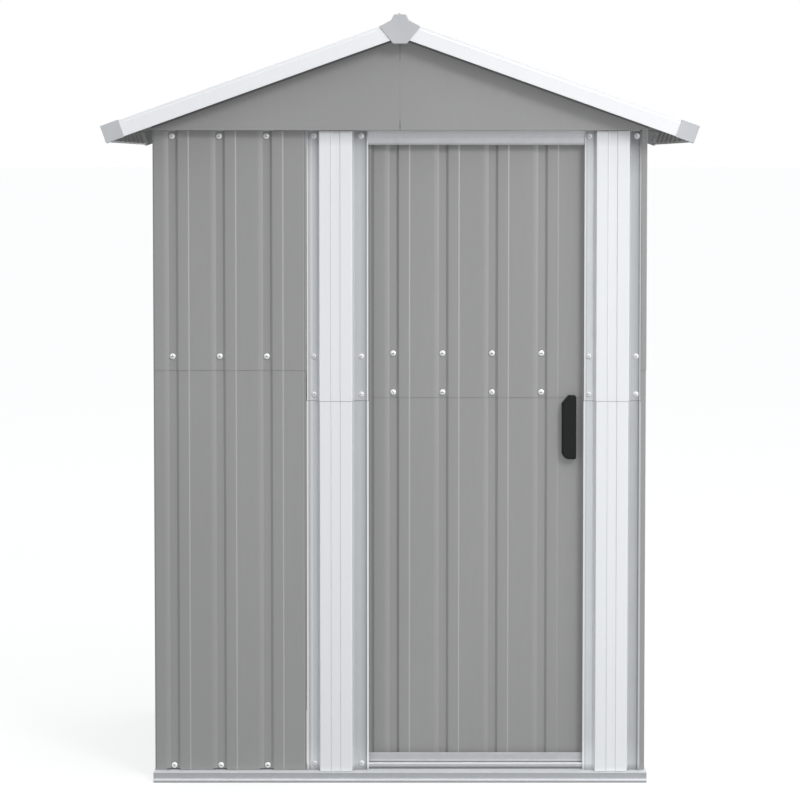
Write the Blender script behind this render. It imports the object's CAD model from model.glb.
import math

import bmesh
import bpy
from mathutils import Matrix, Vector


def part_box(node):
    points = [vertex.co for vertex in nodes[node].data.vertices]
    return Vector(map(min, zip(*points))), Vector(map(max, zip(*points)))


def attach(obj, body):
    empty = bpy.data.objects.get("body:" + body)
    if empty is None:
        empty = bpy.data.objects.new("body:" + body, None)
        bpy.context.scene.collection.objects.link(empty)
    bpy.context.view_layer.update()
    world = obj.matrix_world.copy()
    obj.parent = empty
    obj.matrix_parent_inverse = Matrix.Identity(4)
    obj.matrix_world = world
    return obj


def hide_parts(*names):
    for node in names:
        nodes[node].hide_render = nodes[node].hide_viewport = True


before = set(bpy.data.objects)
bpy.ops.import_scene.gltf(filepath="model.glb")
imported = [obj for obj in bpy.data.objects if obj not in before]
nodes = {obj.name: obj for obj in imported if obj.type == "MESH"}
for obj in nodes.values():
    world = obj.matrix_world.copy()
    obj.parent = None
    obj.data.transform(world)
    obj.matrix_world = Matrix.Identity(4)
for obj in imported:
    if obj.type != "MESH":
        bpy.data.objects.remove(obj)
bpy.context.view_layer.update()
scene = bpy.context.scene

# All lengths are in metres

# Heights of the sheets' feet, laps and tops, and of the rows of screws
WALL_FOOT = 0.023
DOOR_FOOT = 0.0351
JAMB_SEAM = 0.880
DOOR_SEAM = 0.885
WALL_SEAM = 0.950
LOWER_TOP = 0.998
DOOR_TOP = 1.4889
WALL_TOP = 1.4985
SIDE_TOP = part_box("right_wall_upper")[1].z
FOOT_ROW = 0.0330
LAP_ROW = 0.982
HEAD_ROW = 1.487

# The frame's half width and depth, the seat of the sheets on it, and the sheets' ends
FRAME_X = 0.561
FRAME_Y = 0.4085
SEAT = 0.0001
WALL_EDGE = 0.5663
FRONT_END = -0.2151
SIDE_END = 0.4120
DOOR_ENDS = (-0.0789, 0.4339)
DOOR_BACK = -0.3816
ROOF_END = 0.483

# The sheets' thickness, the step of a lap, and the ribs' flats and crests above their valleys
SHEET = 0.0008
LAP_STEP = 0.0009
RIB_DEPTH = 0.0035
CREST = RIB_DEPTH + 0.0015

# The roof's slope, the height of its ridge and the length of a slope
ROOF_PITCH = math.radians(19.7)
EAVE_HEIGHT = 1.508
ROOF_HALF_WIDTH = 0.676
RIDGE = EAVE_HEIGHT + ROOF_HALF_WIDTH * math.tan(ROOF_PITCH)
SLOPE = ROOF_HALF_WIDTH / math.cos(ROOF_PITCH)

# The middles of the ribs' valleys
RIB_PITCH = 0.108
DOOR_RIB_PITCH = 0.114


def valley_row(first, count, pitch=RIB_PITCH):
    return [first + pitch * i for i in range(count)]


FRONT_VALLEYS = valley_row(-0.5223, 3)
SIDE_VALLEYS = valley_row(-0.360, 7)
BACK_VALLEYS = valley_row(-0.5203, 10)
ROOF_VALLEYS = valley_row(-0.423, 8)
DOOR_VALLEYS = valley_row(-0.016, 4, DOOR_RIB_PITCH)


# Materials: small helpers

def new_material(name):
    material = bpy.data.materials.new(name)
    material.use_nodes = True
    tree = material.node_tree
    tree.nodes.clear()
    output = tree.nodes.new("ShaderNodeOutputMaterial")
    shader = tree.nodes.new("ShaderNodeBsdfPrincipled")
    tree.links.new(shader.outputs["BSDF"], output.inputs["Surface"])
    return material, tree, shader


def object_noise(tree, scale, detail, roughness=0.55, stretch=(1.0, 1.0, 1.0)):
    """A noise texture in the object's own metres, stretched along an axis where its factor is small."""
    place = tree.nodes.new("ShaderNodeTexCoord")
    mapping = tree.nodes.new("ShaderNodeMapping")
    mapping.inputs["Scale"].default_value = stretch
    noise = tree.nodes.new("ShaderNodeTexNoise")
    noise.inputs["Scale"].default_value = scale
    noise.inputs["Detail"].default_value = detail
    noise.inputs["Roughness"].default_value = roughness
    tree.links.new(place.outputs["Object"], mapping.inputs["Vector"])
    tree.links.new(mapping.outputs["Vector"], noise.inputs["Vector"])
    return noise.outputs["Fac"]


def spread(tree, source, low, high, source_low=0.3, source_high=0.7):
    """Maps a factor to the range from low to high."""
    node = tree.nodes.new("ShaderNodeMapRange")
    node.inputs["From Min"].default_value = source_low
    node.inputs["From Max"].default_value = source_high
    node.inputs["To Min"].default_value = low
    node.inputs["To Max"].default_value = high
    tree.links.new(source, node.inputs["Value"])
    return node.outputs["Result"]


def rise(tree, value, low, high):
    """0 where a value is below low, and 1 where it is above high."""
    return spread(tree, value, 0.0, 1.0, low, high)


def fall(tree, value, low, high):
    """1 where a value is below low, and 0 where it is above high."""
    return spread(tree, value, 1.0, 0.0, low, high)


def calc(tree, operation, first, second=0.0):
    """One step of arithmetic with two values, each a socket or a number."""
    node = tree.nodes.new("ShaderNodeMath")
    node.operation = operation
    for socket, value in zip(node.inputs, (first, second)):
        if isinstance(value, float):
            socket.default_value = value
        else:
            tree.links.new(value, socket)
    return node.outputs["Value"]


def band(tree, value, low, high, soft):
    """1 where a value lies between low and high, and 0 beyond their soft edges."""
    return calc(tree, "MULTIPLY", rise(tree, value, low - soft, low), fall(tree, value, high, high + soft))


def coordinate(tree, axis, kind="Object"):
    """One axis of the object's own coordinates, or of another kind of them."""
    place = tree.nodes.new("ShaderNodeTexCoord")
    split = tree.nodes.new("ShaderNodeSeparateXYZ")
    tree.links.new(place.outputs[kind], split.inputs["Vector"])
    return split.outputs[axis]


def mix_colours(tree, factor, first, second, blend="MIX"):
    """Mixes two colours, each a socket or a tuple."""
    node = tree.nodes.new("ShaderNodeMix")
    node.data_type = "RGBA"
    node.blend_type = blend
    for socket, value in ((node.inputs[0], factor), (node.inputs[6], first), (node.inputs[7], second)):
        if isinstance(value, tuple):
            socket.default_value = (*value, 1.0)
        elif isinstance(value, float):
            socket.default_value = value
        else:
            tree.links.new(value, socket)
    return node.outputs[2]


def shade(colour, factor):
    return tuple(channel * factor for channel in colour)


def vary_tone(tree, strength, colour, amount):
    """A colour that is darker or lighter by an amount, as a strength goes from 0 to 1."""
    return mix_colours(tree, strength, shade(colour, 1.0 - amount), shade(colour, 1.0 + amount))


def tint(tree, tone, *changes):
    """Lightens or darkens a tone by each factor in turn, where its strength is 1."""
    for factor, strength in changes:
        changed = mix_colours(tree, 1.0, tone, (factor,) * 3, "MULTIPLY")
        tone = mix_colours(tree, strength, tone, changed)
    return tone


def bump_from(tree, shader, height, strength, distance):
    node = tree.nodes.new("ShaderNodeBump")
    node.inputs["Strength"].default_value = strength
    node.inputs["Distance"].default_value = distance
    tree.links.new(height, node.inputs["Height"])
    tree.links.new(node.outputs["Normal"], shader.inputs["Normal"])


def finished(material):
    """The tree, shader and tone of a finished material, for one more change of its tone."""
    tree = material.node_tree
    shader = next(node for node in tree.nodes if node.type == "BSDF_PRINCIPLED")
    return tree, shader, shader.inputs["Base Color"].links[0].from_socket


# Materials: coated sheets

# The roughness of a sheet, the reach of the shadow under a lap and the soft edge of a line
SHEET_ROUGHNESS = 0.40
SEAM_REACH = 0.0016
LINE_SOFT = 0.0003


def sheet_noise(tree):
    """Slow changes down a sheet, and fine ones."""
    slow = object_noise(tree, 2.2, 2.0, 0.5, (1.0, 1.0, 0.35))
    fine = object_noise(tree, 60.0, 4.0, 0.6, (1.0, 1.0, 0.25))
    return slow, fine


def coat(tree, shader, tone, fine, roughness):
    """Gives a sheet its tone, its slightly uneven sheen and the fine peel of its coating."""
    tree.links.new(tone, shader.inputs["Base Color"])
    tree.links.new(spread(tree, fine, roughness - 0.05, roughness + 0.07), shader.inputs["Roughness"])
    bump_from(tree, shader, object_noise(tree, 420.0, 2.0, 0.5), 0.12, 0.0004)


def below_seam(tree, seam):
    """1 on the lower sheet just below the edge that laps over it, and 0 further down."""
    return rise(tree, coordinate(tree, "Z"), seam - SEAM_REACH, seam - SEAM_REACH * 0.35)


def painted_sheet(name, colour, roughness=SHEET_ROUGHNESS, seam=None, vary=0.05, lines=(), across="X"):
    """Coated sheet. A seam is its height and tone, and each line is a low and a high place and a tone."""
    material, tree, shader = new_material(name)
    slow, fine = sheet_noise(tree)
    tone = vary_tone(tree, spread(tree, slow, 0.0, 1.0), colour, vary)
    tone = mix_colours(tree, spread(tree, fine, 0.0, 0.35, 0.35, 0.75), tone, shade(colour, 0.93))
    if seam:
        height, factor = seam
        tone = mix_colours(tree, below_seam(tree, height), tone, shade(colour, factor))
    for low, high, factor in lines:
        tone = tint(tree, tone, (factor, band(tree, coordinate(tree, across), low, high, LINE_SOFT)))
    coat(tree, shader, tone, fine, roughness)
    return material


# Strips of a jamb, measured in from the outer edges of its flanges: their ends and soft edges
BEAD = (0.0040, 0.0046)
BEAD_SHADOW = (0.0048, 0.0065, 0.0020)
DULL_STRIP = (0.0055, 0.0190)
STREAK = (0.0110, 0.0130, 0.0020)
PALE_STRIP = (0.0225, 0.0300, 0.0060)
# The web's dark groove, left of its middle, half the width of its core, and the depths where it ends
WEB_GROOVE = (0.0120, 0.0098, 0.0004)
WEB_CORE = 0.01
WEB_DEPTHS = (-0.4262, -0.4250)
# Heights between which the tone of a jamb changes, at its foot and under the gable
FLANGE_FOOT = (0.023, 0.037)
JAMB_FOOT = (0.024, 0.033)
FOOT_GLOW = (0.048, 0.095)
HEAD_START = (1.385, 1.445)
CORNER_HEAD = (1.400, 1.482)
FLANGE_HEAD = (1.447, 1.476)
JAMB_HEAD = (1.462, 1.494)


def jamb_sheet(name, edges, web_x, flanges, beads, streak, corner_shade, seam=None):
    """Jamb sheet: a white web, greyer flanges and beads on their edges, in tones from left to right."""
    material, tree, shader = new_material(name)
    slow, fine = sheet_noise(tree)
    across = coordinate(tree, "X")
    height = coordinate(tree, "Z")
    right = rise(tree, across, web_x - WEB_CORE, web_x + WEB_CORE)
    from_left = calc(tree, "SUBTRACT", across, edges[0])
    from_right = calc(tree, "SUBTRACT", edges[1], across)
    from_edge = calc(tree, "MINIMUM", from_left, from_right)

    web = mix_colours(tree, spread(tree, slow, 0.0, 1.0), shade(WHITE, 0.975), shade(WHITE, 1.02))
    groove_low, groove_high, groove_soft = WEB_GROOVE
    groove = band(tree, across, web_x - groove_low, web_x - groove_high, groove_soft)
    web = tint(tree, web, (0.68, groove))

    flange = mix_colours(tree, right, *(shade(FLANGE, factor) for factor in flanges))
    flange = mix_colours(tree, spread(tree, fine, 0.0, 0.3), flange, shade(FLANGE, 0.92))
    flange = tint(
        tree, flange,
        (streak, band(tree, from_left, *STREAK)),
        (1.1, band(tree, from_left, *PALE_STRIP)),
        (0.80, fall(tree, from_right, *DULL_STRIP)),
        (0.84, band(tree, from_edge, *BEAD_SHADOW)),
    )
    bead = mix_colours(tree, right, *(shade(WHITE, factor) for factor in beads))
    flange = mix_colours(tree, fall(tree, from_edge, *BEAD), flange, bead)
    flange = tint(
        tree, flange,
        (1.12, fall(tree, height, *FOOT_GLOW)),
        (0.5, fall(tree, height, *FLANGE_FOOT)),
        (0.92, rise(tree, height, *HEAD_START)),
        (0.85, rise(tree, height, *FLANGE_HEAD)),
        (corner_shade, calc(tree, "MULTIPLY", right, rise(tree, height, *CORNER_HEAD))),
    )

    tone = mix_colours(tree, fall(tree, coordinate(tree, "Y"), *WEB_DEPTHS), flange, web)
    if seam:
        tone = tint(tree, tone, (0.42, below_seam(tree, seam)))
    tone = tint(
        tree, tone,
        (0.74, rise(tree, height, *JAMB_HEAD)),
        (1.10, fall(tree, height, *JAMB_FOOT)),
    )
    coat(tree, shader, tone, fine, SHEET_ROUGHNESS)
    return material


# The gable's dark joint, from its middle, and the dark seal under the fascia, below the roof's outer plane
GABLE_JOINT = (0.0009, 0.0014)
FASCIA_SEAL = (0.0404, 0.0416)


def gable_sheet(name, colour, roughness):
    """Gable sheet: painted like the walls, with a dark joint and a dark seal under the fascia."""
    material = painted_sheet(name, colour, roughness)
    tree, shader, tone = finished(material)
    side = calc(tree, "ABSOLUTE", coordinate(tree, "X"))
    level = calc(tree, "ADD", calc(tree, "MULTIPLY", side, math.tan(ROOF_PITCH)), coordinate(tree, "Z"))
    below = calc(tree, "MULTIPLY", calc(tree, "SUBTRACT", RIDGE, level), math.cos(ROOF_PITCH))
    tone = tint(
        tree, tone,
        (0.55, fall(tree, side, *GABLE_JOINT)),
        (0.5, fall(tree, below, *FASCIA_SEAL)),
    )
    tree.links.new(tone, shader.inputs["Base Color"])
    return material


# A valley's dark foot: its ends about the middle, its soft edge, and its heights above the sheet's foot
DARK_FOOT = (-0.0170, 0.0140, 0.0010)
DARK_FOOT_HEIGHTS = (0.0028, 0.0034)


def dark_feet(material, valleys, foot):
    """Darkens the foot of each valley, where the sheet stands off the ledge."""
    tree, shader, tone = finished(material)
    low = fall(tree, coordinate(tree, "Z"), *(foot + height for height in DARK_FOOT_HEIGHTS))
    start, end, soft = DARK_FOOT
    for middle in valleys:
        near = band(tree, coordinate(tree, "X"), middle + start, middle + end, soft)
        tone = tint(tree, tone, (0.35, calc(tree, "MULTIPLY", low, near)))
    tree.links.new(tone, shader.inputs["Base Color"])


# A face looks inwards where the product of its direction and its place along the depth is below these
INWARD = (-0.35, -0.25)


def dull_inside(material, colour):
    """Gives a darker inside to the faces that look towards the middle of the depth."""
    tree, shader, tone = finished(material)
    outward = calc(tree, "MULTIPLY", coordinate(tree, "Y", "Normal"), coordinate(tree, "Y"))
    inward = fall(tree, outward, *INWARD)
    tree.links.new(mix_colours(tree, inward, tone, colour), shader.inputs["Base Color"])
    return material


# Materials: zinc and plastic

# Crystals of the spangle in a metre, and the range of their greys that is used
CRYSTAL_SCALE = 95.0
CRYSTAL_GREYS = (0.2, 0.8)


def galvanised_steel(name, colour, roughness=0.42, metallic=0.55, tones=(), spangle=0.065):
    """Zinc-coated steel, spangled and brushed. Each tone is a low and a high z, soft edge and factor."""
    material, tree, shader = new_material(name)
    place = tree.nodes.new("ShaderNodeTexCoord")
    crystals = tree.nodes.new("ShaderNodeTexVoronoi")
    crystals.inputs["Scale"].default_value = CRYSTAL_SCALE
    tree.links.new(place.outputs["Object"], crystals.inputs["Vector"])
    grey = tree.nodes.new("ShaderNodeRGBToBW")
    tree.links.new(crystals.outputs["Color"], grey.inputs["Color"])
    crystal = grey.outputs["Val"]
    grain = object_noise(tree, 240.0, 3.0, 0.6, (0.06, 1.0, 1.0))
    tone = vary_tone(tree, rise(tree, crystal, *CRYSTAL_GREYS), colour, spangle)
    tone = mix_colours(tree, spread(tree, grain, 0.0, 0.5), tone, shade(colour, 1.0 - 1.5 * spangle))
    for low, high, soft, factor in tones:
        tone = tint(tree, tone, (factor, band(tree, coordinate(tree, "Z"), low, high, soft)))
    tree.links.new(tone, shader.inputs["Base Color"])
    sheen = spread(tree, crystal, roughness - 0.05, roughness + 0.08, *CRYSTAL_GREYS)
    tree.links.new(sheen, shader.inputs["Roughness"])
    shader.inputs["Metallic"].default_value = metallic
    bump_from(tree, shader, grain, 0.08, 0.0003)
    return material


def moulded_plastic(name, colour, roughness, grain_scale=900.0, grain=0.25, gloss=0.5):
    """Moulded plastic with a fine matt grain."""
    material, tree, shader = new_material(name)
    shader.inputs["Specular IOR Level"].default_value = gloss
    slow = object_noise(tree, 9.0, 2.0)
    fine = object_noise(tree, grain_scale, 2.0, 0.6)
    tone = vary_tone(tree, spread(tree, slow, 0.0, 1.0), colour, 0.05)
    tree.links.new(tone, shader.inputs["Base Color"])
    tree.links.new(spread(tree, fine, roughness - 0.06, roughness + 0.06), shader.inputs["Roughness"])
    bump_from(tree, shader, fine, grain, 0.0003)
    return material


# Materials: what each piece is made of

# Colours of the sheets, the jambs' flanges, the trims and the caps
GREY = (0.3185, 0.317, 0.3145)
WHITE = (0.83, 0.845, 0.865)
FLANGE = (0.60, 0.62, 0.635)
TRIM_WHITE = (0.88, 0.89, 0.905)
CAP_WHITE = (0.80, 0.81, 0.825)
CAP_GREY = (0.53, 0.54, 0.555)

# Lines down the sheets: where from and to, and their tones
STRETCHED_FOLD = (0.0365, 0.0390, 1.17)
FRONT_EDGES = ((-0.5650, -0.5631, 0.72), (-0.2222, -0.2200, 1.12), (-0.2198, -0.2177, 0.78))
DOOR_EDGE = ((-0.0660, -0.0600, 0.76),)
LIP_RIB = (-0.030, 0.024)


def stretched_folds(valleys):
    """The folds beside the ribs' crests, where the coating is stretched and paler."""
    start, end, factor = STRETCHED_FOLD
    return tuple((middle + start, middle + end, factor) for middle in valleys)


def lip_stripes(factor):
    """The ribs of a roof sheet's lip, darker than what lies between them."""
    start, end = LIP_RIB
    return tuple((middle + start, middle + end, factor) for middle in ROOF_VALLEYS)


front_lines = FRONT_EDGES + stretched_folds(FRONT_VALLEYS)
door_lines = DOOR_EDGE + stretched_folds(DOOR_VALLEYS[:-1])
wall_lap = (WALL_SEAM, 0.8)
wall_plain = painted_sheet("wall_grey_plain", GREY)
wall_lapped = painted_sheet("wall_grey_lapped", GREY, seam=wall_lap)
front_plain = painted_sheet("front_grey_plain", GREY, lines=front_lines)
front_lapped = painted_sheet("front_grey_lapped", GREY, seam=wall_lap, lines=front_lines)
dark_feet(front_lapped, FRONT_VALLEYS, WALL_FOOT)
door_plain = painted_sheet("door_grey_plain", GREY, lines=door_lines)
door_lapped = painted_sheet("door_grey_lapped", GREY, seam=(DOOR_SEAM, 0.72), lines=door_lines)
stile_grey = painted_sheet("stile_grey", GREY, lines=DOOR_EDGE)
gable_grey = gable_sheet("gable_grey", shade(GREY, 1.01), 0.42)
lip_left = painted_sheet("lip_grey_left", shade(GREY, 0.95), 0.5, lines=lip_stripes(0.75), across="Y")
lip_right = painted_sheet("lip_grey_right", shade(GREY, 2.9), 0.5, lines=lip_stripes(0.58), across="Y")
fascia_white = dull_inside(painted_sheet("fascia_white", TRIM_WHITE, vary=0.02), shade(GREY, 0.6))
roof_trim = painted_sheet("roof_trim_white", CAP_WHITE, vary=0.02)

# The jambs' edges and the middle of their webs, and the tones of their left and right parts
LEFT_JAMB = {
    "edges": (-0.215, -0.072), "web_x": -0.1475,
    "flanges": (0.98, 0.84), "beads": (0.90, 0.97), "streak": 1.14, "corner_shade": 1.0,
}
RIGHT_JAMB = {
    "edges": (0.422, 0.554), "web_x": 0.4865,
    "flanges": (1.14, 0.79), "beads": (0.94, 0.62), "streak": 1.0, "corner_shade": 0.76,
}
jamb_left_upper = jamb_sheet("jamb_left_upper_white", **LEFT_JAMB)
jamb_left_lower = jamb_sheet("jamb_left_lower_white", **LEFT_JAMB, seam=JAMB_SEAM)
jamb_right_upper = jamb_sheet("jamb_right_upper_white", **RIGHT_JAMB)
jamb_right_lower = jamb_sheet("jamb_right_lower_white", **RIGHT_JAMB, seam=JAMB_SEAM)

# Burnished and dull bands on the rails: low and high z, soft edge and tone
BASE_TONES = (
    (0.0050, 0.0060, 0.0004, 1.9),
    (0.0202, 0.0226, 0.0004, 2.3),
    (0.0235, 0.0270, 0.0050, 0.6),
    (0.0325, 0.0400, 0.0060, 1.3),
    (0.0362, 0.0400, 0.0010, 1.75),
)
rail_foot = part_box("door_bottom_rail")[0].z
DOOR_TONES = (
    (rail_foot - 0.001, rail_foot + 0.0050, 0.0005, 0.6),
    (rail_foot + 0.0060, rail_foot + 0.0085, 0.0008, 1.28),
    (rail_foot + 0.016, 0.06, 0.012, 0.82),
)
HEADER_TONES = (
    (1.460, 1.475, 0.014, 0.84),
    (1.492, 1.530, 0.010, 1.06),
    (1.466, 1.4690, 0.0040, 0.72),
)
zinc = galvanised_steel("galvanised_rail", (0.61, 0.625, 0.64))
zinc_base = galvanised_steel(
    "galvanised_base", (0.415, 0.425, 0.437), metallic=0.1, tones=BASE_TONES, spangle=0.02,
)
zinc_door = galvanised_steel("galvanised_door_rail", (0.77, 0.78, 0.795), tones=DOOR_TONES, spangle=0.025)
zinc_header = galvanised_steel("galvanised_header", (0.635, 0.65, 0.667), tones=HEADER_TONES, spangle=0.03)
screw_steel = galvanised_steel("screw_zinc", (0.96, 0.965, 0.97), 0.26, 0.3)
screw_dull = galvanised_steel("screw_zinc_dull", (0.80, 0.805, 0.81), 0.45, 0.2)

plastic_grey = moulded_plastic("cap_grey_plastic", CAP_GREY, 0.55)
corner_plastic = dull_inside(moulded_plastic("corner_grey_plastic", CAP_GREY, 0.55), shade(CAP_GREY, 0.6))
plastic_black = moulded_plastic(
    "handle_black_plastic", (0.012, 0.0135, 0.0135), 0.48, grain_scale=700.0, grain=0.4, gloss=0.2,
)
seal_rubber = moulded_plastic("seal_rubber", (0.14, 0.14, 0.14), 0.7)
nylon = moulded_plastic("nylon_white", (0.7, 0.7, 0.67), 0.5)

by_material = {
    wall_plain: (
        "left_wall_upper", "right_wall_upper", "back_wall_upper",
        "roof_panel_left", "roof_panel_right",
    ),
    wall_lapped: ("left_wall_lower", "right_wall_lower", "back_wall_lower"),
    front_plain: ("front_panel_upper",),
    front_lapped: ("front_panel_lower",),
    door_plain: ("door_panel_upper",),
    door_lapped: ("door_panel_lower",),
    stile_grey: ("door_stiles",),
    gable_grey: ("gable_front", "gable_back"),
    fascia_white: ("fascia_front", "fascia_back"),
    roof_trim: ("ridge_cap", "eave_trims"),
    jamb_left_upper: ("door_jamb_left_upper",),
    jamb_left_lower: ("door_jamb_left_lower",),
    jamb_right_upper: ("door_jamb_right_upper",),
    jamb_right_lower: ("door_jamb_right_lower",),
    zinc: (
        "bottom_track", "corner_posts", "top_rail_left", "top_rail_right", "top_rail_back",
        "mid_rails", "ridge_beam", "door_hangers",
    ),
    zinc_base: ("base_rail_front", "base_rail_back", "base_rail_left", "base_rail_right"),
    zinc_door: ("door_top_rail", "door_bottom_rail"),
    zinc_header: ("door_header",),
    plastic_grey: ("ridge_end_caps",),
    corner_plastic: ("roof_corner_caps",),
    plastic_black: ("door_handle",),
    nylon: ("door_wheels", "door_guides"),
}
for material, names in by_material.items():
    for name in names:
        for slot in nodes[name].material_slots:
            slot.material = material


# Softened edges on the nodes that stay

# The widths of the edges, and the distance within which points are joined first
HANDLE_EDGE = 0.0012
METAL_EDGE = 0.00028
WELD = 0.00002


def soften(node, width):
    weld = node.modifiers.new("weld", "WELD")
    weld.merge_threshold = WELD
    bevel = node.modifiers.new("soft_edges", "BEVEL")
    bevel.width = width
    bevel.segments = 2
    bevel.limit_method = "ANGLE"
    bevel.angle_limit = math.radians(20)
    bevel.harden_normals = True


for name in nodes:
    if "panel" not in name and "wall" not in name:
        soften(nodes[name], HANDLE_EDGE if name == "door_handle" else METAL_EDGE)


# Ribbed sheets with rounded folds, in place of the sharp ones

# The curved flank's start, bend and foot, along from the valley's middle, and how finely it is drawn
FLANK = (-0.0225, -0.0150, -0.0085)
FLANK_STEPS = 8
FLANK_RADIUS = 0.02
FOOT_RADIUS = 0.0008
# The steep flank's foot, both edges of the crest and the edge of the flat: along, out and fold radius
CREST_POINTS = (
    (0.00875, 0.0, 0.0012),
    (0.01425, CREST, 0.0014),
    (0.03625, CREST, 0.0009),
    (0.03925, RIB_DEPTH, 0.0009),
)
EDGE_RADIUS = 0.001
# How finely a fold is drawn, the share of a stretch that it may take, and the least lean of an offset
FOLD_STEPS = 6
FOLD_SHARE = 0.48
LEAST_LEAN = 0.3
# Edges that are folded by more than this stay sharp
SHARP_ANGLE = math.radians(35)


def curve(start, bend, end, t):
    """The point at t, from 0 to 1, on the curve from start to end that is drawn towards a bend."""
    return start * (1 - t) ** 2 + bend * 2 * t * (1 - t) + end * t ** 2


def rib_shape():
    """(along from the valley's middle, out from the valley, fold radius) points of one rib."""
    shape = []
    for step in range(FLANK_STEPS + 1):
        t = step / FLANK_STEPS
        radius = FOOT_RADIUS if step == FLANK_STEPS else FLANK_RADIUS
        shape.append((curve(*FLANK, t), RIB_DEPTH * (1 - t ** 2), radius))
    return shape + list(CREST_POINTS)


def rib_line(start, end, valleys, head=(), tail=()):
    """(along, out, fold radius) points of a ribbed sheet's inner face, from its folded head to its tail."""
    line = list(head) + [(start, RIB_DEPTH, EDGE_RADIUS if head else 0.0)]
    for middle in valleys:
        line += [(middle + along, out, radius) for along, out, radius in rib_shape()]
    return line + [(end, RIB_DEPTH, EDGE_RADIUS if tail else 0.0)] + list(tail)


def round_folds(line):
    """The line's points, with each fold drawn as an arc of about its radius."""
    points = [Vector(line[0][:2])]
    for (ax, ay, _), (bx, by, radius), (cx, cy, _) in zip(line, line[1:], line[2:]):
        corner = Vector((bx, by))
        back = Vector((ax, ay)) - corner
        ahead = Vector((cx, cy)) - corner
        half = back.angle(ahead) / 2
        reach = min(radius / math.tan(half), back.length * FOLD_SHARE, ahead.length * FOLD_SHARE)
        start = corner + back.normalized() * reach
        end = corner + ahead.normalized() * reach
        points += [curve(start, corner, end, step / FOLD_STEPS) for step in range(FOLD_STEPS + 1)]
    return points + [Vector(line[-1][:2])]


def offset_left(points, distance):
    """The line of points moved to its left by a distance."""
    moved = []
    for index, point in enumerate(points):
        before = (point - points[max(index - 1, 0)]).normalized()
        after = (points[min(index + 1, len(points) - 1)] - point).normalized()
        side = Vector((-(before + after).y, (before + after).x)).normalized()
        straight = after if before.length == 0 else before
        lean = max(side.dot(Vector((-straight.y, straight.x))), LEAST_LEAN)
        moved.append(point + side * distance / lean)
    return moved


def mesh_of(bm, name):
    mesh = bpy.data.meshes.new(name)
    bm.to_mesh(mesh)
    bm.free()
    return mesh


def linked_object(name, data):
    item = bpy.data.objects.new(name, data)
    scene.collection.objects.link(item)
    return item


def add_piece(name, mesh, body, material, node=None):
    """Makes a piece, smooth but for its sharp edges, that rides on a body and may stand in for a node."""
    mesh.materials.append(material)
    for polygon in mesh.polygons:
        polygon.use_smooth = True
    mesh.set_sharp_from_angle(angle=SHARP_ANGLE)
    piece = linked_object(name, mesh)
    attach(piece, body)
    if node:
        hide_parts(node)


def ribbed_sheet(node, body, line, layer, material, *runs, inside=None):
    """Stands in for a ribbed sheet, one stretch for each run. Inside is for the last one's inner face."""
    points = round_folds(line)
    near = layer * LAP_STEP
    section = offset_left(points, near) + offset_left(points, near + SHEET)[::-1]
    count = len(section)
    inner = count // 2 - 1
    bm = bmesh.new()
    for index, (place, start, end) in enumerate(runs):
        lined = inside is not None and index == len(runs) - 1
        rings = [[bm.verts.new(place(p.x, p.y, run)) for p in section] for run in (start, end)]
        for i in range(count):
            j = (i + 1) % count
            face = bm.faces.new((rings[0][i], rings[0][j], rings[1][j], rings[1][i]))
            face.material_index = int(lined and i < inner)
        for ring in rings:
            for i in range(inner):
                bm.faces.new((ring[i], ring[i + 1], ring[count - 2 - i], ring[count - 1 - i]))
    bmesh.ops.recalc_face_normals(bm, faces=bm.faces)
    name = "ribs_" + node
    mesh = mesh_of(bm, name)
    add_piece(name, mesh, body, material, node)
    if inside:
        mesh.materials.append(inside)


def on_front(along, out, run):
    return along, -FRAME_Y - SEAT - out, run


def on_back(along, out, run):
    return along, FRAME_Y + SEAT + out, run


def on_right(along, out, run):
    return FRAME_X + SEAT + out, along, run


def on_left(along, out, run):
    return -FRAME_X - SEAT - out, along, run


def on_door(along, out, run):
    return along, DOOR_BACK - out, run


# The front wall's edge is folded back to the frame, and the right wall's front edge inwards to the jamb
FRONT_EDGE = FRONT_END - SHEET - LAP_STEP
FRONT_FOLD = [(FRONT_EDGE, 0.001, 0.0)]
RIGHT_FOLD = [(-SIDE_END, RIB_DEPTH - 0.011, 0.0)]
front_line = rib_line(-WALL_EDGE, FRONT_EDGE, FRONT_VALLEYS, tail=FRONT_FOLD)
right_line = rib_line(-SIDE_END, SIDE_END, SIDE_VALLEYS, head=RIGHT_FOLD)
left_line = rib_line(-SIDE_END, SIDE_END, SIDE_VALLEYS)
back_line = rib_line(-WALL_EDGE, WALL_EDGE, BACK_VALLEYS)
for wall, line, place, top, lapped, plain in (
    ("front_panel", front_line, on_front, WALL_TOP, front_lapped, front_plain),
    ("right_wall", right_line, on_right, SIDE_TOP, wall_lapped, wall_plain),
    ("left_wall", left_line, on_left, SIDE_TOP, wall_lapped, wall_plain),
    ("back_wall", back_line, on_back, WALL_TOP, wall_lapped, wall_plain),
):
    ribbed_sheet(wall + "_lower", "shed", line, 0, lapped, (place, WALL_FOOT, LOWER_TOP))
    ribbed_sheet(wall + "_upper", "shed", line, 1, plain, (place, WALL_SEAM, top))
door_line = rib_line(*DOOR_ENDS, DOOR_VALLEYS)
ribbed_sheet("door_panel_lower", "door", door_line, 0, door_lapped, (on_door, DOOR_FOOT, LOWER_TOP))
ribbed_sheet("door_panel_upper", "door", door_line, 1, door_plain, (on_door, DOOR_SEAM, DOOR_TOP))

# The drop of the roof sheets' valleys below the outer plane, and the ends of their slopes and lips
ROOF_UNDERSIDE = 0.004 + RIB_DEPTH + SHEET
SLOPE_ENDS = (0.006, SLOPE - 0.003)
LIP_RUN = SLOPE - 0.0084
LIP_DROPS = (0.0029, 0.035)


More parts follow.
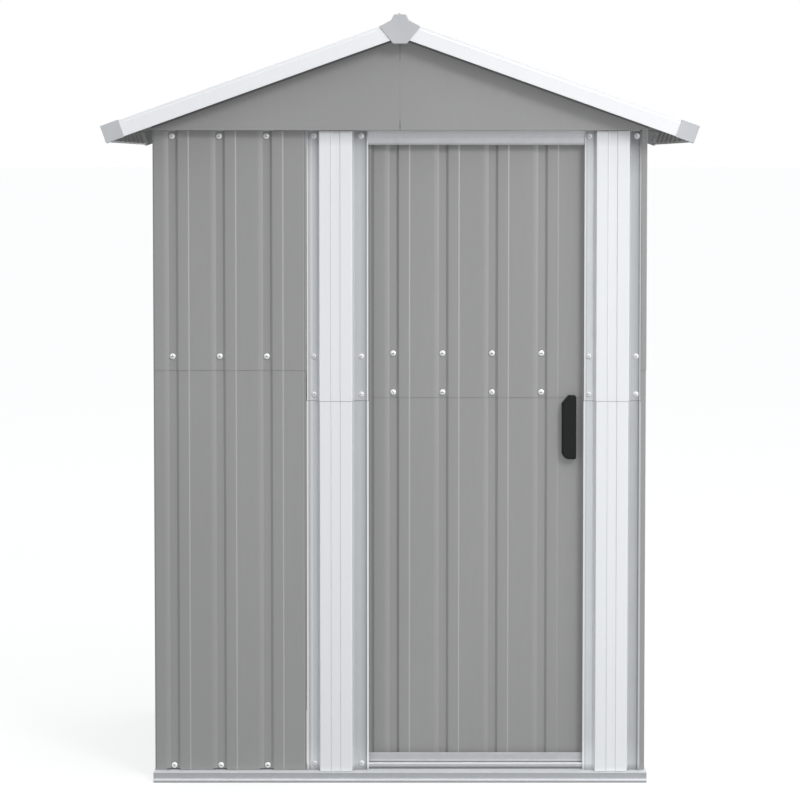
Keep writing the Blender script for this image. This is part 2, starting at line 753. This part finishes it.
def below_roof(side, along, run, drop):
    """The point at a run down a roof slope and a drop below its outer plane."""
    across = run * math.cos(ROOF_PITCH) - drop * math.sin(ROOF_PITCH)
    return side * across, along, RIDGE - run * math.sin(ROOF_PITCH) - drop * math.cos(ROOF_PITCH)


def on_slope(side):
    return lambda along, out, run: below_roof(side, along, run, ROOF_UNDERSIDE - out)


def on_lip(side):
    return lambda along, out, drop: below_roof(side, along, LIP_RUN + out, drop)


roof_line = rib_line(-ROOF_END, ROOF_END, ROOF_VALLEYS)
for node, side, inside in (("roof_panel_right", 1, lip_right), ("roof_panel_left", -1, lip_left)):
    slope_run = (on_slope(side), *SLOPE_ENDS)
    lip_run = (on_lip(side), *LIP_DROPS)
    ribbed_sheet(node, "shed", roof_line, 0, wall_plain, slope_run, lip_run, inside=inside)


# Screws

# (radius, height) points of a pan head on its washer, and of the seal under it
HEAD_PROFILE = (
    (0.0071, -0.0004), (0.0073, 0.0002), (0.0073, 0.0008), (0.0070, 0.0010),
    (0.0061, 0.0011), (0.0060, 0.0013), (0.0060, 0.0022), (0.0056, 0.0031),
    (0.0047, 0.0038), (0.0034, 0.0043), (0.0018, 0.00455), (0.0, 0.0046),
)
SEAL_PROFILE = ((0.0081, -0.0004), (0.0084, 0.0), (0.0084, 0.0004), (0.0080, 0.0006), (0.0066, 0.0006))
SCREW_SIDES = 28
# The block that cuts one arm of the cross recess, its height, and the limits of the recess's faces
RECESS_BLOCK = (0.0066, 0.0016, 0.0036)
RECESS_HEIGHT = 0.0046
RECESS_TOP = 0.0041
RECESS_RADIUS = 0.0033


def lathe(profile):
    """A shape turned around +Z from (radius, height) points, from its outer foot to its middle."""
    bm = bmesh.new()
    turns = [2 * math.pi * i / SCREW_SIDES for i in range(SCREW_SIDES)]
    rings = []
    for radius, height in profile:
        if radius == 0:
            rings.append([bm.verts.new((0, 0, height))])
        else:
            circle = [(radius * math.cos(t), radius * math.sin(t), height) for t in turns]
            rings.append([bm.verts.new(point) for point in circle])
    for lower, upper in zip(rings, rings[1:]):
        for i in range(SCREW_SIDES):
            j = (i + 1) % SCREW_SIDES
            if len(upper) == 1:
                bm.faces.new((lower[i], lower[j], upper[0]))
            else:
                bm.faces.new((lower[i], lower[j], upper[j], upper[i]))
    return bm


def recess_block(turn):
    """One arm of the cross recess, turned about the screw's axis."""
    bm = bmesh.new()
    bmesh.ops.create_cube(bm, size=1.0)
    bmesh.ops.scale(bm, vec=RECESS_BLOCK, verts=bm.verts)
    bmesh.ops.translate(bm, vec=(0, 0, RECESS_HEIGHT), verts=bm.verts)
    bmesh.ops.rotate(bm, cent=(0, 0, 0), matrix=Matrix.Rotation(turn, 3, "Z"), verts=bm.verts)
    return linked_object("recess", mesh_of(bm, "recess"))


def screw_template():
    """A screw with its foot at z = 0. The faces of its recess and of its seal have material index 1."""
    head = linked_object("screw_template", mesh_of(lathe(HEAD_PROFILE), "screw_template"))
    blocks = [recess_block(turn) for turn in (0, math.pi / 2)]
    for block in blocks:
        cut = head.modifiers.new("recess", "BOOLEAN")
        cut.operation = "DIFFERENCE"
        cut.object = block
        cut.solver = "EXACT"
    graph = bpy.context.evaluated_depsgraph_get()
    result = bpy.data.meshes.new_from_object(head.evaluated_get(graph))
    for leftover in blocks + [head]:
        mesh = leftover.data
        bpy.data.objects.remove(leftover)
        bpy.data.meshes.remove(mesh)
    whole = bmesh.new()
    whole.from_mesh(result)
    for face in whole.faces:
        middle = face.calc_center_median()
        face.material_index = int(middle.z < RECESS_TOP and middle.xy.length < RECESS_RADIUS)
    head_faces = len(whole.faces)
    seal = mesh_of(lathe(SEAL_PROFILE), "seal_template")
    whole.from_mesh(seal)
    bpy.data.meshes.remove(seal)
    whole.faces.ensure_lookup_table()
    for face in whole.faces[head_faces:]:
        face.material_index = 1
    whole.to_mesh(result)
    whole.free()
    return result


SCREW = screw_template()
# The turn of the first screw's recess, and the turn from each to the next, in degrees
FIRST_TURN = 37
NEXT_TURN = 71
# Sizes of the screws, as factors
WALL_SCREW = 0.95
JAMB_SCREW = 0.85
CAP_SCREW = 0.7
END_SCREW = 0.75


def add_screws(name, body, places, steel, seal):
    """One piece of screws at (point, outward direction, size) places. Each recess is turned its own way."""
    bm = bmesh.new()
    for index, (point, outward, size) in enumerate(places):
        spin = Matrix.Rotation(math.radians(FIRST_TURN + NEXT_TURN * index % 90), 4, "Z")
        turn = Vector(outward).to_track_quat("Z", "Y").to_matrix().to_4x4()
        placed = Matrix.Translation(point) @ turn @ spin @ Matrix.Scale(size, 4)
        start = len(bm.verts)
        bm.from_mesh(SCREW)
        bm.verts.ensure_lookup_table()
        bmesh.ops.transform(bm, matrix=placed, verts=bm.verts[start:])
    mesh = mesh_of(bm, name)
    add_piece(name, mesh, body, steel)
    mesh.materials.append(seal)


def on_wall(place, along, layer, height, size=WALL_SCREW):
    """A screw place on a wall's valley, on its lower or upper sheet."""
    point = Vector(place(along, SHEET + layer * LAP_STEP, height))
    return point, point - Vector(place(along, 0.0, height)), size


# Rows of screws: the layer of sheet that they lie on, and their height
WALL_ROWS = ((0, FOOT_ROW), (1, LAP_ROW), (1, HEAD_ROW))
JAMB_ROWS = ((1, 0.8945), (1, LAP_ROW), (1, HEAD_ROW))
JAMB_FOOT_ROW = (0, 0.0375)
DOOR_ROWS = ((1, 0.897), (1, 0.987))
LEFT_JAMB_SCREWS = (-0.1975, -0.0890)
RIGHT_JAMB_SCREWS = (0.4335, 0.5420)

for name, place, valleys in (
    ("screws_front_panel", on_front, FRONT_VALLEYS),
    ("screws_right_wall", on_right, SIDE_VALLEYS),
    ("screws_left_wall", on_left, SIDE_VALLEYS),
    ("screws_back_wall", on_back, BACK_VALLEYS),
):
    places = [on_wall(place, along, *row) for along in valleys for row in WALL_ROWS]
    add_screws(name, "shed", places, screw_steel, seal_rubber)
jamb_places = [on_wall(on_front, x, *JAMB_FOOT_ROW, JAMB_SCREW) for x in LEFT_JAMB_SCREWS]
for x in LEFT_JAMB_SCREWS + RIGHT_JAMB_SCREWS:
    jamb_places += [on_wall(on_front, x, *row, JAMB_SCREW) for row in JAMB_ROWS]
add_screws("screws_jambs", "shed", jamb_places, screw_dull, plastic_grey)
door_places = [on_wall(on_door, x, *row) for x in DOOR_VALLEYS for row in DOOR_ROWS]
add_screws("screws_door", "door", door_places, screw_steel, seal_rubber)

# Runs down the slope of the roof's screws, the run and rise of the ridge cap's, and the end ones' depth
ROOF_RUNS = (0.075, 0.585)
CAP_RUN = 0.034
CAP_RISE = 0.0011
RIDGE_SCREW_Y = 0.476

roof_places = []
cap_places = []
for side in (1, -1):
    up = Vector((side * math.sin(ROOF_PITCH), 0, math.cos(ROOF_PITCH)))
    for y in ROOF_VALLEYS:
        for run in ROOF_RUNS:
            roof_places.append((Vector(below_roof(side, y, run, ROOF_UNDERSIDE - SHEET)), up, WALL_SCREW))
    for y in ROOF_VALLEYS[1::2]:
        cap_places.append((Vector(below_roof(side, y, CAP_RUN, -CAP_RISE)), up, CAP_SCREW))
add_screws("screws_roof", "shed", roof_places, screw_steel, seal_rubber)
add_screws("screws_ridge_cap", "shed", cap_places, screw_steel, seal_rubber)
cap_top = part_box("ridge_end_caps")[1].z
end_places = [(Vector((0, y, cap_top)), (0, 0, 1), END_SCREW) for y in (-RIDGE_SCREW_Y, RIDGE_SCREW_Y)]
add_screws("screws_ridge_ends", "shed", end_places, zinc, plastic_grey)


# Floor, light and camera

# The floor's half size, its drop below the feet, its grey, and the glow that only the camera sees
FLOOR_HALF_SIZE = 600
FLOOR_DROP = 0.0002
FLOOR_GREY = 0.4
FLOOR_GLOW = 0.6
# The sky's colour, its strengths at the horizon and overhead, and where the lamps are aimed
SKY = (0.97, 0.985, 1.0)
SKY_STRENGTHS = (0.38, 1.25)
AIM = (0, -0.4, 0.9)
# How far the camera looks down, in degrees
CAMERA_DIP = 3.03


def floor_material():
    """A pale floor that looks white to the camera and gives little light back."""
    material, tree, shader = new_material("pale_floor")
    shader.inputs["Base Color"].default_value = (FLOOR_GREY, FLOOR_GREY, FLOOR_GREY, 1)
    shader.inputs["Roughness"].default_value = 0.9
    shader.inputs["Specular IOR Level"].default_value = 0.0
    shader.inputs["Emission Color"].default_value = (1, 1, 1, 1)
    path = tree.nodes.new("ShaderNodeLightPath")
    glow = calc(tree, "MULTIPLY", path.outputs["Is Camera Ray"], FLOOR_GLOW)
    tree.links.new(glow, shader.inputs["Emission Strength"])
    return material


def add_floor():
    bm = bmesh.new()
    bmesh.ops.create_grid(bm, x_segments=2, y_segments=2, size=FLOOR_HALF_SIZE)
    mesh = mesh_of(bm, "floor")
    mesh.materials.append(floor_material())
    floor = linked_object("floor", mesh)
    floor.location = (0, 0, -FLOOR_DROP)


def add_world():
    """Soft light that grows towards the zenith, and plain white for what is seen or mirrored."""
    world = bpy.data.worlds.new("studio")
    scene.world = world
    world.use_nodes = True
    tree = world.node_tree
    tree.nodes.clear()
    output = tree.nodes.new("ShaderNodeOutputWorld")
    soft = tree.nodes.new("ShaderNodeBackground")
    soft.inputs["Color"].default_value = (*SKY, 1)
    strength = spread(tree, coordinate(tree, "Z", "Generated"), *SKY_STRENGTHS, 0.0, 1.0)
    tree.links.new(strength, soft.inputs["Strength"])
    white = tree.nodes.new("ShaderNodeBackground")
    white.inputs["Color"].default_value = (1, 1, 1, 1)
    white.inputs["Strength"].default_value = 1.0
    path = tree.nodes.new("ShaderNodeLightPath")
    seen = calc(tree, "MAXIMUM", path.outputs["Is Camera Ray"], path.outputs["Is Glossy Ray"])
    choice = tree.nodes.new("ShaderNodeMixShader")
    tree.links.new(seen, choice.inputs["Fac"])
    tree.links.new(soft.outputs["Background"], choice.inputs[1])
    tree.links.new(white.outputs["Background"], choice.inputs[2])
    tree.links.new(choice.outputs["Shader"], output.inputs["Surface"])


def area_lamp(name, place, size, watts, shadows=True):
    lamp = bpy.data.lights.new(name, "AREA")
    lamp.use_shadow = shadows
    lamp.shape = "DISK"
    lamp.size = size
    lamp.energy = watts
    holder = linked_object(name, lamp)
    holder.location = place
    holder.rotation_euler = (Vector(AIM) - Vector(place)).to_track_quat("-Z", "Y").to_euler()


def add_camera():
    camera = bpy.data.cameras.new("camera")
    camera.lens = 121.5
    camera.sensor_width = 36
    camera.shift_y = -0.12
    viewer = linked_object("camera", camera)
    viewer.location = (0.0, -6.6, 1.43)
    viewer.rotation_euler = (math.radians(90 - CAMERA_DIP), 0, 0)
    scene.camera = viewer


add_floor()
add_world()
area_lamp("key", (2.36, -4.84, 4.17), 1.6, 96)
area_lamp("side", (3.92, -1.83, 2.59), 2.0, 88, shadows=False)
add_camera()
scene.view_settings.view_transform = "Standard"
